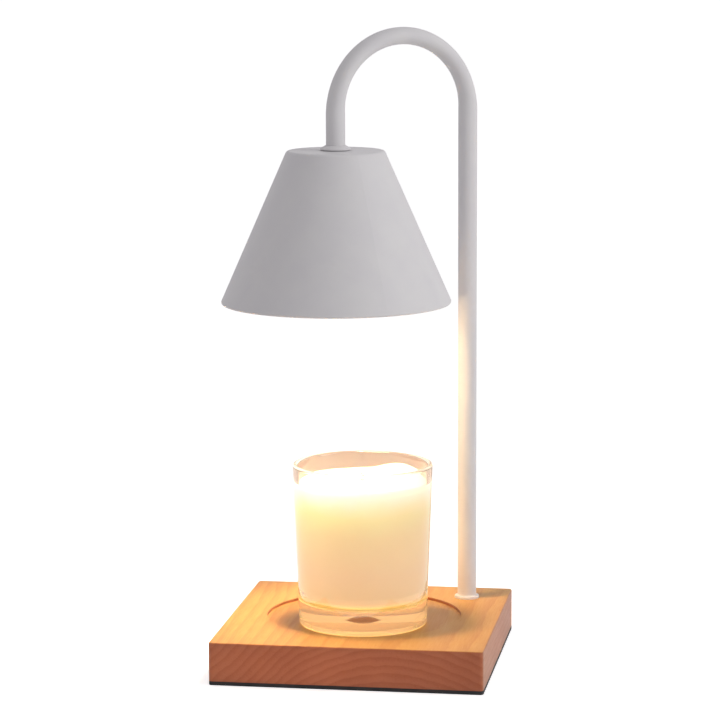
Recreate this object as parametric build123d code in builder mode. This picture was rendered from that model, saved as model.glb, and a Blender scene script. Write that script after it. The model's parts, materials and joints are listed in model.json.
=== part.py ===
"""A candle warmer lamp: a square wooden base, a bent tube arm that swivels in it, and a conical shade
whose halogen bulb warms a candle in a glass tumbler that stands in the base's recess.

Millimetres. The origin is the centre of the base's underside. +X runs along the front edge to the
right, +Y to the back and +Z up.
"""

import os
from math import asin, cos, degrees, radians, sin, sqrt, tan

from build123d import *

# ---- Clearances ----
FIT_GAP = 0.05  # thread, glued or pressed fit, on the radius
SWIVEL_GAP = 0.05  # running fit of the foot nipple in its bush, on the radius
LOOSE_GAP = 0.2  # a hole over a plain shank, on the radius
TRAVEL_GAP = 0.3  # between faces that move past each other

# ---- Base ----
BASE_SIZE = 140.0  # side of the square base
WOOD_T = 20.0
PAD_T = 2.0
BASE_CORNER_R = 2.0  # rounding of the upright edges
BASE_EDGE_R = 0.8  # rounding of the top edges
RECESS_MARGIN = 19.3  # from the sides to the recess, were it central
RECESS_SHIFT = (-1.0, 2.0)  # how far the recess's centre stands off the base's
RECESS_DEPTH = 1.5
RECESS_EDGE_R = 0.4
POCKET_DEPTH = 13.0  # wiring pocket, cut from the underside
POCKET_CORNER_R = 4.0
NUT_POCKET_R = 17.0
SCREW_SKIN = 2.0  # wood left above a wood screw's tip

# ---- Arm ----
TUBE_D = 10.0
TUBE_WALL = 1.5
TAPPED_WALL = 1.0  # wall left where the tube's ends are tapped
TAPPED_DEPTH = 12.0
POST_INSET_X = 22.0  # from the base's right side to the post's axis
POST_INSET_Y = 23.5  # from the base's back to the post's axis
POST_RISE = 262.8  # straight length of the post above the wood
ARM_REACH = 77.0  # from the post's axis to the shade's axis
ARM_DIRECTION = 215.0  # degrees about +Z, from +X to the arm
HEAD_DROP = 19.3  # from the arch's springing line down to the shade
BEND_FLAT = 0.5  # the arch's tube loses this much radius in the plane of its bend
BEND_BULGE = 0.25  # and gains this much across it
BEND_EASE = 20.0  # degrees of the bend at each end in which its section changes
SWIVEL_LIMIT = 30.0  # degrees, each way
FOOT_COLLAR_RIM = 1.5  # width of the collar around the tube
FOOT_COLLAR_T = 1.6
FOOT_COLLAR_EDGE_R = 0.7
SHADE_COLLAR_RIM = 3.0
SHADE_COLLAR_H = 2.6
SHADE_COLLAR_EDGE = 0.6  # height of its outer edge
SHADE_COLLAR_STEP = 0.5  # its outer edge stands this far off the shade
SHADE_COLLAR_SEAT = 1.4  # width of the part of it that rests on the shade
SHADE_COLLAR_NECK = 0.5  # width of its flat top

# ---- Foot fixings ----
NIPPLE_BORE_R = 2.7
NIPPLE_GRIP = 11.0  # thread inside the tube
NIPPLE_FLAT_CUT = 0.7  # depth of the flat that keys the stop washer
NIPPLE_TAIL = 1.0  # thread that shows past the nut
BUSH_WALL = 1.6
LIMIT_PLATE_RIM = 3.5  # plate outside its screws' centres
LIMIT_PLATE_T = 1.5
LIMIT_SCREW_REACH = 8.0  # from the nipple to the centres of the plate's two screws
STOP_WASHER_RIM = 4.5
STOP_WASHER_T = 1.0
TAB_REACH = 7.5  # from the nipple to the tab's end
TAB_WIDTH = 5.0
LUG_GAP = 1.0  # between the stop washer and a lug
LUG_LENGTH = 2.5  # along the radius
LUG_WIDTH = 2.5
LUG_HEIGHT = 2.2
STOP_MARGIN = 0.8  # degrees left between the tab and a lug at the limit
SPRING_WASHER_RIM = 3.0
SPRING_WASHER_T = 1.4
SPRING_WASHER_SPLIT = 1.0
NUT_RIM = 2.5  # from the thread to the nut's flats
NUT_T = 4.0

# ---- Screws ----
WOOD_SCREW_R = 1.5
WOOD_SCREW_HEAD_R = 2.5
WOOD_SCREW_HEAD_T = 1.8
DRIVE_LENGTH = 2.6  # cross recess in a screw's head
DRIVE_WIDTH = 0.6
DRIVE_DEPTH = 0.8

# ---- Wiring ----
LEAD_R = 0.9
LEAD_ARC_SHARE = 0.45  # share of the shorter run that each bend of a lead takes
LEAD_OFFSET = 1.2  # from the tube's axis to each lead
SLEEVE_R = 2.6
SLEEVE_WALL = 0.4
SPLIT_ABOVE_NIPPLE = 3.3  # the fixed leads reach this far up into the nipple
LEAD_FLOOR_GAP = 1.5  # between the pad and the lowest lead
LEAD_RISE_START = 8.0  # from the post's axis to where the leads start to rise
BLOCK_SETBACK = 18.0  # from the post's axis to the terminal block's near end
BLOCK_LENGTH = 14.0
BLOCK_HEIGHT = 10.0
BLOCK_EDGE_R = 1.0
POLE_PITCH = 8.0
POLE_SIDE = 5.0  # from a pole's axis to the block's side
POLE_DROP = 4.5  # from the pocket's ceiling to the poles' axes
POLE_TUBE_R = 2.1
POLE_BORE_R = 1.3
POLE_TUBE_LENGTH = 12.0
POLE_SCREW_PITCH = 6.0
POLE_SCREW_R = 1.1
POLE_SCREW_HEAD_R = 1.6
POLE_SCREW_HEAD_T = 1.0
POLE_SCREW_RECESS = 0.6  # the screw heads lie this far inside the block
CORD_X = 0.0
CORD_DROP = 4.0  # from the pocket's ceiling to the mains lead's axis
POCKET_BACK_WALL = 9.0
POCKET_LEFT = 12.0  # from the mains lead's axis to the pocket's left wall
POCKET_FRONT = 10.5  # from the post's axis to the pocket's front wall
GROMMET_BORE_R = 3.2
GROMMET_BARREL_R = 4.5
GROMMET_FLANGE_R = 6.0
GROMMET_FLANGE_T = 1.2
GROMMET_EDGE_R = 0.4
CLAMP_WIDTH = 21.0
CLAMP_DEPTH = 6.0
CLAMP_T = 1.5
CLAMP_WAY = 7.0  # inner width and height of its arch
CLAMP_SCREW_X = 7.6
CLAMP_INSET = 3.0  # from the pocket's back wall to the clamp

# ---- Shade ----
SHADE_TOP_R = 25.3
SHADE_BOTTOM_R = 60.1  # where the cone's outside would meet its lower edge
SHADE_HEIGHT = 79.0
SHADE_WALL = 0.9
SHADE_SHOULDER_R = 2.0
HEM_R = 1.0  # rolled lower edge

# ---- Head fixings and lampholder ----
HEAD_NIPPLE_TAIL = 0.7
BRACKET_T = 1.2
BRACKET_WIDTH = 14.0
BRACKET_NUT_GAP = 0.5  # from the nut's corners to each leg
BRACKET_FOOT = 6.5  # length of each foot
HEAD_WASHER_RIM = 3.0
HEAD_WASHER_T = 0.8
HEAD_NUT_T = 3.5
LEAD_ROOM = 6.4  # from the head nipple's end down to the lampholder
HOLDER_END = 4.0  # from its screws to its ends
HOLDER_WIDTH = 18.0
HOLDER_HEIGHT = 14.0
HOLDER_CORNER_R = 4.0
HOLDER_EDGE_R = 0.8
HOLDER_PLATE_T = 3.0  # ceramic below the pins' heads
HEAD_CHAMBER = 5.5  # height of the chamber that the pins' heads turn in
HOLDER_SCREW_INSET = 3.0  # from the end of a foot to its screw
HOLDER_SCREW_SINK = 3.0
CONTACT_R = 2.3
CONTACT_T = 0.6
STEM_R = 1.0
STEM_TAIL = 1.2  # contact stem above the lampholder
HOLDER_LEAD_RISE = 2.0  # straight run out of a stem
HOLDER_LEAD_BEND = 4.7  # height above a stem where the leads come together
HOLDER_LEAD_TOP = 3.6  # reach into the head nipple
SLEEVE_TAIL = 2.0  # the sleeve hangs this far below the leads' joint

# ---- Bulb ----
BULB_R = 25.0
BULB_LENGTH = 48.0  # from the lampholder's face to the front
PIN_PITCH = 10.0
PIN_SHANK_R = 1.5
PIN_HEAD_R = 2.5
PIN_HEAD_T = 2.5
PIN_ROOT = 4.0
UNLOCK_ANGLE = 20.0  # degrees from locked to released
CAP_LENGTH = 20.0
CAP_WIDTH = 15.0
CAP_HEIGHT = 9.0
CAP_CORNER_R = 3.0
SOCKET_R = 10.5
SOCKET_HEIGHT = 11.0
NECK_R = 8.2
NECK_DEPTH = 5.0  # neck of the reflector inside the socket
REFLECTOR_WALL = 1.3
BOWL_SHOULDER = 0.8  # step between the bowl and its rim
RIM_HEIGHT = 4.0
BOWL_BULGE = 0.64  # how full the bowl is: 0.5 would be a straight cone
LENS_T = 1.6
CAPSULE_R = 4.0
CAPSULE_WALL = 0.7
CAPSULE_LENGTH = 15.0
PINCH_LENGTH = 7.0
PINCH_WIDTH = 2.6
FILAMENT_R = 0.7
FILAMENT_LENGTH = 5.0
FILAMENT_LEG_R = 0.25
FILAMENT_DROP = 7.0

# ---- Candle ----
CANDLE_SHIFT = (1.2, -11.4)  # how far the tumbler stands off the recess's centre
JAR_RIM_R = 36.4
JAR_BASE_R = 33.2
JAR_HEIGHT = 84.3
JAR_WALL = 2.8
JAR_FLOOR_T = 12.0
JAR_HEEL_R = 1.2
JAR_INNER_R = 5.0
JAR_FOOT_R = 29.5  # inner radius of the ring that it stands on
JAR_KICK = 2.2  # depth of the hollow at that ring
JAR_CROWN = 4.0  # depth of the hollow at the dimple's rim
CROWN_BULGE = 0.3  # how far its vault rises over a straight cone
DIMPLE_R = 5.7
DIMPLE_DEPTH = 2.2  # of the dimple in the hollow's crown
WAX_BELOW_RIM = 7.5
WAX_GAP = 0.1
WICK_R = 1.1
WICK_TAIL = 3.0
WICK_TAB_R = 7.5
WICK_TAB_T = 0.8
WICK_NECK_R = 1.9
WICK_NECK_H = 3.0

# ---- Levels and places that follow ----
BASE_TOP = PAD_T + WOOD_T
CEILING = PAD_T + POCKET_DEPTH
WOOD_OVER_POCKET = BASE_TOP - CEILING
WOOD_SCREW_REACH = WOOD_OVER_POCKET - SCREW_SKIN
RECESS_R = BASE_SIZE / 2 - RECESS_MARGIN
RECESS_FLOOR = BASE_TOP - RECESS_DEPTH
POST_X = BASE_SIZE / 2 - POST_INSET_X
POST_Y = BASE_SIZE / 2 - POST_INSET_Y
TUBE_R = TUBE_D / 2
NIPPLE_R = TUBE_R - TAPPED_WALL
NIPPLE_FLAT = NIPPLE_R - NIPPLE_FLAT_CUT
FOOT_COLLAR_R = TUBE_R + FOOT_COLLAR_RIM
SHADE_COLLAR_R = TUBE_R + SHADE_COLLAR_RIM
SHADE_COLLAR_SEAT_R = TUBE_R + SHADE_COLLAR_SEAT
BUSH_R = NIPPLE_R + BUSH_WALL
STOP_WASHER_R = NIPPLE_R + STOP_WASHER_RIM
TAB_R = NIPPLE_R + TAB_REACH
LUG_INNER_R = STOP_WASHER_R + LUG_GAP
LIMIT_SCREW_R = NIPPLE_R + LIMIT_SCREW_REACH
LIMIT_PLATE_R = LIMIT_SCREW_R + LIMIT_PLATE_RIM
NUT_R = NIPPLE_R + NUT_RIM
NUT_CORNER_R = NUT_R / cos(radians(30))  # a hexagon's corners
BRACKET_LEG_X = NUT_CORNER_R + BRACKET_NUT_GAP
BRACKET_FOOT_X = BRACKET_LEG_X + BRACKET_FOOT
HOLDER_SCREW_X = BRACKET_FOOT_X - HOLDER_SCREW_INSET
ARM_DIR = (cos(radians(ARM_DIRECTION)), sin(radians(ARM_DIRECTION)), 0)
SIDE_DIR = (-ARM_DIR[1], ARM_DIR[0], 0)
HEAD_X = POST_X + ARM_REACH * ARM_DIR[0]
HEAD_Y = POST_Y + ARM_REACH * ARM_DIR[1]
ARCH_R = ARM_REACH / 2
ARCH_SPRING = BASE_TOP + POST_RISE
SHADE_TOP = ARCH_SPRING - HEAD_DROP
SHADE_BOTTOM = SHADE_TOP - SHADE_HEIGHT

STOP_WASHER_TOP = CEILING - LIMIT_PLATE_T
SPRING_WASHER_TOP = STOP_WASHER_TOP - STOP_WASHER_T
NUT_TOP = SPRING_WASHER_TOP - SPRING_WASHER_T
FOOT_NIPPLE_BOTTOM = NUT_TOP - NUT_T - NIPPLE_TAIL
LEAD_SPLIT = FOOT_NIPPLE_BOTTOM + SPLIT_ABOVE_NIPPLE

BRACKET_TOP = SHADE_TOP - SHADE_WALL
HEAD_WASHER_TOP = BRACKET_TOP - BRACKET_T
HEAD_NUT_TOP = HEAD_WASHER_TOP - HEAD_WASHER_T
HEAD_NIPPLE_BOTTOM = HEAD_NUT_TOP - HEAD_NUT_T - HEAD_NIPPLE_TAIL
HOLDER_TOP = HEAD_NIPPLE_BOTTOM - LEAD_ROOM
HOLDER_FACE = HOLDER_TOP - HOLDER_HEIGHT
CHAMBER_FLOOR = HOLDER_FACE + HOLDER_PLATE_T
STEM_TOP = HOLDER_TOP + STEM_TAIL
HEAD_SPLIT = HEAD_NIPPLE_BOTTOM + HOLDER_LEAD_TOP
PIN_HEAD_BOTTOM = CHAMBER_FLOOR + TRAVEL_GAP
PIN_HEAD_TOP = PIN_HEAD_BOTTOM + PIN_HEAD_T

BULB_FRONT = HOLDER_FACE - BULB_LENGTH
CAP_TOP = HOLDER_FACE - LOOSE_GAP
SOCKET_TOP = CAP_TOP - CAP_HEIGHT
SOCKET_BOTTOM = SOCKET_TOP - SOCKET_HEIGHT
NECK_TOP = SOCKET_BOTTOM + NECK_DEPTH
RIM_TOP = BULB_FRONT + RIM_HEIGHT

CANDLE_X = RECESS_SHIFT[0] + CANDLE_SHIFT[0]
CANDLE_Y = RECESS_SHIFT[1] + CANDLE_SHIFT[1]
JAR_RIM = RECESS_FLOOR + JAR_HEIGHT
JAR_FLOOR = RECESS_FLOOR + JAR_FLOOR_T
WAX_TOP = JAR_RIM - WAX_BELOW_RIM

POCKET_LEFT_X = CORD_X - POCKET_LEFT
POCKET_BACK_Y = BASE_SIZE / 2 - POCKET_BACK_WALL
POCKET_FRONT_Y = POST_Y - POCKET_FRONT
BLOCK_X = POST_X - BLOCK_SETBACK - BLOCK_LENGTH / 2
POLE_Z = CEILING - POLE_DROP
BLOCK_BOTTOM = CEILING - BLOCK_HEIGHT
BLOCK_SIDE_Y = POLE_PITCH / 2 + POLE_SIDE
CORD_Z = CEILING - CORD_DROP
CLAMP_Y = POCKET_BACK_Y - CLAMP_INSET - CLAMP_DEPTH

# ---- Planes and axes ----
UP = (0, 0, 1)
HEAD_AXIS = Axis((HEAD_X, HEAD_Y, 0), UP)
CANDLE_AXIS = Axis((CANDLE_X, CANDLE_Y, 0), UP)


def level(x, y, height, x_dir=(1, 0, 0)):
    """A level plane at a height, centred on a place in plan."""
    return Plane(origin=(x, y, height), x_dir=x_dir, z_dir=UP)


def section(x, y, x_dir):
    """An upright plane through a place in plan: its x runs along x_dir, its y is the height."""
    return Plane(origin=(x, y, 0), x_dir=x_dir, z_dir=(x_dir[1], -x_dir[0], 0))


def post_level(height):
    return level(POST_X, POST_Y, height, ARM_DIR)


def head_level(height):
    return level(HEAD_X, HEAD_Y, height, SIDE_DIR)


def candle_level(height):
    return level(CANDLE_X, CANDLE_Y, height)


ARM_SECTION = section(POST_X, POST_Y, ARM_DIR)
HEAD_SECTION = section(HEAD_X, HEAD_Y, SIDE_DIR)
CANDLE_SECTION = section(CANDLE_X, CANDLE_Y, (1, 0, 0))


# ---- Shapes that repeat ----
def ring(plane, outer_r, inner_r, height):
    """A plain ring that stands on a plane."""
    with BuildPart() as made:
        with BuildSketch(plane):
            Circle(outer_r)
            Circle(inner_r, mode=Mode.SUBTRACT)
        extrude(amount=height)
    return made


def split_ring(plane, outer_r, inner_r, height, split):
    """A spring lock washer: a ring with a cut through one side."""
    with BuildPart() as made:
        with BuildSketch(plane):
            Circle(outer_r)
            Circle(inner_r, mode=Mode.SUBTRACT)
            with Locations((outer_r / 2, 0)):
                Rectangle(outer_r, split, mode=Mode.SUBTRACT)
        extrude(amount=height)
    return made


def hex_nut(plane, height):
    """A thin nut on a nipple, below a plane."""
    with BuildPart() as made:
        with BuildSketch(plane):
            RegularPolygon(NUT_R, 6, major_radius=False)
            Circle(NIPPLE_R + FIT_GAP, mode=Mode.SUBTRACT)
        extrude(amount=-height)
    return made


def screws(plane, places, shank_r, reach, head_r, head_t):
    """Pan-head screws that point up: their heads bear on the plane from below."""
    with BuildPart() as made:
        with BuildSketch(plane):
            with Locations(*places):
                Circle(shank_r)
        extrude(amount=reach)
        with BuildSketch(plane):
            with Locations(*places):
                Circle(head_r)
        extrude(amount=-head_t)
        drive = min(DRIVE_LENGTH, head_r)
        with BuildSketch(plane.offset(-head_t)):
            with Locations(*places):
                Rectangle(drive, DRIVE_WIDTH)
                Rectangle(DRIVE_WIDTH, drive)
        extrude(amount=min(DRIVE_DEPTH, head_t / 2), mode=Mode.SUBTRACT)
    return made


def drill(plane, places, radius, depth):
    """Round holes in the part being built, from a plane along its normal."""
    with BuildSketch(plane) as holes:
        with Locations(*places):
            Circle(radius)
    extrude(holes.sketch, amount=depth, mode=Mode.SUBTRACT)


def arm_run(plane, low, high):
    """The tube's centre line on an upright plane, from a height on the post to one on the shade's leg."""
    with BuildLine(plane) as run:
        Line((0, low), (0, ARCH_SPRING))
        CenterArc((ARCH_R, ARCH_SPRING), ARCH_R, 180, -180)
        Line((ARM_REACH, ARCH_SPRING), (ARM_REACH, high))
    return run.line


def bend_radii(points):
    """The largest arcs that the runs of a lead's route leave room for."""
    ends = [Vector(*point) for point in points]
    runs = [b - a for a, b in zip(ends, ends[1:])]
    radii = []
    for before, after in zip(runs, runs[1:]):
        half_turn = radians(before.get_angle(after)) / 2
        radii.append(LEAD_ARC_SHARE * min(before.length, after.length) / tan(half_turn))
    return radii


def lead(points):
    """One insulated lead along its route, in the part being built."""
    with BuildLine() as route:
        FilletPolyline(*points, radius=bend_radii(points))
    with BuildSketch(Plane(origin=route.line @ 0, z_dir=route.line % 0)) as core:
        Circle(LEAD_R)
    sweep(core.sketch, path=route.line)


def save(piece, name):
    """Name a finished piece and write its file."""
    piece.part.label = name
    export_step(piece.part, f"parts/{name}.step")


os.makedirs("parts", exist_ok=True)

# ---- Wooden base ----
limit_screw_places = [(0, LIMIT_SCREW_R), (0, -LIMIT_SCREW_R)]
clamp_screw_places = [(-CLAMP_SCREW_X, 0), (CLAMP_SCREW_X, 0)]
clamp_middle = level(CORD_X, CLAMP_Y + CLAMP_DEPTH / 2, CEILING)
block_middle = level(BLOCK_X, POST_Y, CEILING)
cord_exit = Plane(origin=(CORD_X, BASE_SIZE / 2, CORD_Z), x_dir=(1, 0, 0), z_dir=(0, 1, 0))

with BuildPart() as wood_base:
    with BuildSketch(Plane.XY.offset(PAD_T)):
        RectangleRounded(BASE_SIZE, BASE_SIZE, BASE_CORNER_R)
    extrude(amount=WOOD_T)
    fillet(wood_base.edges().group_by(Axis.Z)[-1], BASE_EDGE_R)
    drill(Plane.XY.offset(RECESS_FLOOR), [RECESS_SHIFT], RECESS_R, RECESS_DEPTH)
    recess_edges = wood_base.edges().filter_by(GeomType.CIRCLE).sort_by(SortBy.RADIUS)[-2:]
    fillet(recess_edges.sort_by(Axis.Z)[-1], RECESS_EDGE_R)
    with BuildSketch(Plane.XY.offset(PAD_T)):
        with Locations((POST_X, POST_Y)):
            Circle(NUT_POCKET_R)
        with Locations(((POCKET_LEFT_X + POST_X) / 2, (POCKET_FRONT_Y + POCKET_BACK_Y) / 2)):
            RectangleRounded(POST_X - POCKET_LEFT_X, POCKET_BACK_Y - POCKET_FRONT_Y, POCKET_CORNER_R)
    extrude(amount=POCKET_DEPTH, mode=Mode.SUBTRACT)
    drill(post_level(CEILING), [(0, 0)], BUSH_R + FIT_GAP, WOOD_OVER_POCKET)
    drill(cord_exit, [(0, 0)], GROMMET_BARREL_R + FIT_GAP, -POCKET_BACK_WALL)
    pilot_r = WOOD_SCREW_R + FIT_GAP
    drill(post_level(CEILING), limit_screw_places, pilot_r, WOOD_SCREW_REACH)
    drill(clamp_middle, clamp_screw_places, pilot_r, WOOD_SCREW_REACH)
    drill(block_middle, [(0, 0)], pilot_r, WOOD_SCREW_REACH)
save(wood_base, "wood_base")

with BuildPart() as base_pad:
    with BuildSketch(Plane.XY):
        RectangleRounded(BASE_SIZE, BASE_SIZE, BASE_CORNER_R)
    extrude(amount=PAD_T)
save(base_pad, "base_pad")

# ---- Foot of the arm: bush, limit plate, stop washer, spring washer, nut and nipple ----
swivel_bush = ring(post_level(CEILING), BUSH_R, NIPPLE_R + SWIVEL_GAP, WOOD_OVER_POCKET)
save(swivel_bush, "swivel_bush")

lug_angle = (
    SWIVEL_LIMIT
    + STOP_MARGIN
    + degrees(asin(TAB_WIDTH / 2 / LUG_INNER_R))
    + degrees(asin(LUG_WIDTH / 2 / LUG_INNER_R))
)
with BuildPart() as limit_plate:
    with BuildSketch(post_level(CEILING)):
        Circle(LIMIT_PLATE_R)
        Circle(NIPPLE_R + LOOSE_GAP, mode=Mode.SUBTRACT)
        with Locations(*limit_screw_places):
            Circle(WOOD_SCREW_R + LOOSE_GAP, mode=Mode.SUBTRACT)
    extrude(amount=-LIMIT_PLATE_T)
    with BuildSketch(post_level(STOP_WASHER_TOP)):
        lug_r = LUG_INNER_R + LUG_LENGTH / 2
        with PolarLocations(lug_r, 2, start_angle=-lug_angle, angular_range=2 * lug_angle, endpoint=True):
            Rectangle(LUG_LENGTH, LUG_WIDTH)
    extrude(amount=-LUG_HEIGHT)
save(limit_plate, "limit_plate")

limit_plate_screws = screws(
    post_level(STOP_WASHER_TOP),
    limit_screw_places,
    WOOD_SCREW_R,
    LIMIT_PLATE_T + WOOD_SCREW_REACH,
    WOOD_SCREW_HEAD_R,
    WOOD_SCREW_HEAD_T,
)
save(limit_plate_screws, "limit_plate_screws")

with BuildPart() as foot_nipple:
    with BuildSketch(post_level(FOOT_NIPPLE_BOTTOM)):
        Circle(NIPPLE_R)
        Circle(NIPPLE_BORE_R, mode=Mode.SUBTRACT)
    extrude(amount=BASE_TOP + NIPPLE_GRIP - FOOT_NIPPLE_BOTTOM)
    with BuildSketch(post_level(FOOT_NIPPLE_BOTTOM)):
        with Locations((-NIPPLE_FLAT - NIPPLE_R, 0)):
            Rectangle(2 * NIPPLE_R, 2 * NIPPLE_R)
    extrude(amount=STOP_WASHER_TOP - FOOT_NIPPLE_BOTTOM, mode=Mode.SUBTRACT)
save(foot_nipple, "foot_nipple")

with BuildSketch() as keyed_bore:
    Circle(NIPPLE_R + FIT_GAP)
    with Locations((-NIPPLE_FLAT - FIT_GAP - NIPPLE_R, 0)):
        Rectangle(2 * NIPPLE_R, 2 * NIPPLE_R, mode=Mode.SUBTRACT)

with BuildPart() as stop_washer:
    with BuildSketch(post_level(STOP_WASHER_TOP)):
        Circle(STOP_WASHER_R)
        with Locations((TAB_R / 2, 0)):
            Rectangle(TAB_R, TAB_WIDTH)
        add(keyed_bore.sketch_local, mode=Mode.SUBTRACT)
    extrude(amount=-STOP_WASHER_T)
save(stop_washer, "stop_washer")

foot_spring_washer = split_ring(
    post_level(NUT_TOP),
    NIPPLE_R + SPRING_WASHER_RIM,
    NIPPLE_R + LOOSE_GAP,
    SPRING_WASHER_T,
    SPRING_WASHER_SPLIT,
)
save(foot_spring_washer, "foot_spring_washer")

foot_nut = hex_nut(post_level(NUT_TOP), NUT_T)
save(foot_nut, "foot_nut")

# ---- Arm tube and its two collars ----
with BuildLine(ARM_SECTION) as arch_run:
    CenterArc((ARCH_R, ARCH_SPRING), ARCH_R, 180, -180)
arch = arch_run.line
bend_share = BEND_EASE / 180


def bent_sections(radius):
    """Sections along the arch of a tube with a radius, flattened between the arch's two ends."""
    stations = ((0, 0), (bend_share, 1), (0.5, 1), (1 - bend_share, 1), (1, 0))
    sections = []
    for share, bent in stations:
        across = Plane(origin=arch @ share, x_dir=ARM_SECTION.z_dir, z_dir=arch % share)
        with BuildSketch(across) as outline:
            Ellipse(radius + BEND_BULGE * bent, radius - BEND_FLAT * bent)
        sections.append(outline.sketch)
    return sections


with BuildPart() as arm_tube:
    sweep(sections=bent_sections(TUBE_R), path=arch, multisection=True)
    sweep(sections=bent_sections(TUBE_R - TUBE_WALL), path=arch, multisection=True, mode=Mode.SUBTRACT)
    for leg_start, rise in ((post_level(BASE_TOP), POST_RISE), (head_level(SHADE_TOP), HEAD_DROP)):
        with BuildSketch(leg_start):
            Circle(TUBE_R)
            Circle(TUBE_R - TUBE_WALL, mode=Mode.SUBTRACT)
        extrude(amount=rise)
    drill(post_level(BASE_TOP), [(0, 0)], NIPPLE_R + FIT_GAP, TAPPED_DEPTH)
    drill(head_level(SHADE_TOP), [(0, 0)], NIPPLE_R + FIT_GAP, TAPPED_DEPTH)
save(arm_tube, "arm_tube")

with BuildPart() as post_collar:
    with BuildSketch(post_level(BASE_TOP)):
        Circle(FOOT_COLLAR_R)
        Circle(TUBE_R + FIT_GAP, mode=Mode.SUBTRACT)
    extrude(amount=FOOT_COLLAR_T)
    collar_rims = post_collar.edges().group_by(Axis.Z)[-1]
    fillet(collar_rims.sort_by(SortBy.RADIUS)[-1], FOOT_COLLAR_EDGE_R)
save(post_collar, "post_collar")

with BuildPart() as shade_collar:
    bore_r = TUBE_R + FIT_GAP
    with BuildSketch(HEAD_SECTION):
        with BuildLine():
            Polyline(
                (bore_r, SHADE_TOP),
                (SHADE_COLLAR_SEAT_R, SHADE_TOP),
                (SHADE_COLLAR_SEAT_R, SHADE_TOP + SHADE_COLLAR_STEP),
                (SHADE_COLLAR_R, SHADE_TOP + SHADE_COLLAR_STEP),
                (SHADE_COLLAR_R, SHADE_TOP + SHADE_COLLAR_STEP + SHADE_COLLAR_EDGE),
                (bore_r + SHADE_COLLAR_NECK, SHADE_TOP + SHADE_COLLAR_H),
                (bore_r, SHADE_TOP + SHADE_COLLAR_H),
                close=True,
            )
        make_face()
    revolve(axis=HEAD_AXIS)
save(shade_collar, "shade_collar")

# ---- Wiring in the base ----
with BuildPart() as terminal_block:
    with BuildSketch(block_middle):
        Rectangle(BLOCK_LENGTH, 2 * BLOCK_SIDE_Y)
    extrude(amount=-BLOCK_HEIGHT)
    fillet(terminal_block.edges().filter_by(Axis.Z), BLOCK_EDGE_R)
    block_end = Plane(
        origin=(BLOCK_X - BLOCK_LENGTH / 2, POST_Y, POLE_Z), x_dir=(0, 1, 0), z_dir=(1, 0, 0)
    )
    pole_places = [(-POLE_PITCH / 2, 0), (POLE_PITCH / 2, 0)]
    drill(block_end, pole_places, POLE_TUBE_R + FIT_GAP, BLOCK_LENGTH)
    pole_screw_places = [
        (x, y)
        for x in (-POLE_SCREW_PITCH / 2, POLE_SCREW_PITCH / 2)
        for y in (-POLE_PITCH / 2, POLE_PITCH / 2)
    ]
    block_underside = level(BLOCK_X, POST_Y, BLOCK_BOTTOM)
    drill(block_underside, pole_screw_places, POLE_SCREW_HEAD_R + LOOSE_GAP, POLE_Z - BLOCK_BOTTOM)
    drill(block_underside, [(0, 0)], WOOD_SCREW_R + LOOSE_GAP, BLOCK_HEIGHT)
save(terminal_block, "terminal_block")

with BuildPart() as terminal_tubes:
    with BuildSketch(block_end.offset((BLOCK_LENGTH - POLE_TUBE_LENGTH) / 2)):
        with Locations(*pole_places):
            Circle(POLE_TUBE_R)
            Circle(POLE_BORE_R, mode=Mode.SUBTRACT)
    extrude(amount=POLE_TUBE_LENGTH)
    drill(block_underside, pole_screw_places, POLE_SCREW_R + FIT_GAP, POLE_Z - BLOCK_BOTTOM)
save(terminal_tubes, "terminal_tubes")

pole_screw_seat = BLOCK_BOTTOM + POLE_SCREW_RECESS + POLE_SCREW_HEAD_T
terminal_screws = screws(
    level(BLOCK_X, POST_Y, pole_screw_seat),
    pole_screw_places,
    POLE_SCREW_R,
    POLE_Z - LEAD_R - FIT_GAP - pole_screw_seat,
    POLE_SCREW_HEAD_R,
    POLE_SCREW_HEAD_T,
)
save(terminal_screws, "terminal_screws")

terminal_fixing_screw = screws(
    block_underside,
    [(0, 0)],
    WOOD_SCREW_R,
    BLOCK_HEIGHT + WOOD_SCREW_REACH,
    WOOD_SCREW_HEAD_R,
    WOOD_SCREW_HEAD_T,
)
save(terminal_fixing_screw, "terminal_fixing_screw")

lead_low = PAD_T + LEAD_FLOOR_GAP + LEAD_R
with BuildPart() as base_leads:
    for side in (-1, 1):
        start_x = POST_X + side * LEAD_OFFSET * SIDE_DIR[0]
        start_y = POST_Y + side * LEAD_OFFSET * SIDE_DIR[1]
        pole_y = POST_Y + side * POLE_PITCH / 2 * (1 if SIDE_DIR[1] > 0 else -1)
        rise_x = POST_X - LEAD_RISE_START
        block_x = POST_X - BLOCK_SETBACK
        lead(
            [
                (start_x, start_y, LEAD_SPLIT),
                (start_x, start_y, lead_low),
                (rise_x, (start_y + pole_y) / 2, lead_low),
                (block_x + POLE_BORE_R, pole_y, POLE_Z),
                (BLOCK_X, pole_y, POLE_Z),
            ]
        )
save(base_leads, "base_leads")

with BuildPart() as cord_grommet:
    with BuildSketch(cord_exit):
        Circle(GROMMET_FLANGE_R)
    extrude(amount=GROMMET_FLANGE_T)
    fillet(cord_grommet.edges().group_by(Axis.Y)[-1], GROMMET_EDGE_R)
    with BuildSketch(cord_exit):
        Circle(GROMMET_BARREL_R)
    extrude(amount=-POCKET_BACK_WALL)
    drill(cord_exit.offset(GROMMET_FLANGE_T), [(0, 0)], GROMMET_BORE_R, -POCKET_BACK_WALL - GROMMET_FLANGE_T)
save(cord_grommet, "cord_grommet")

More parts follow.
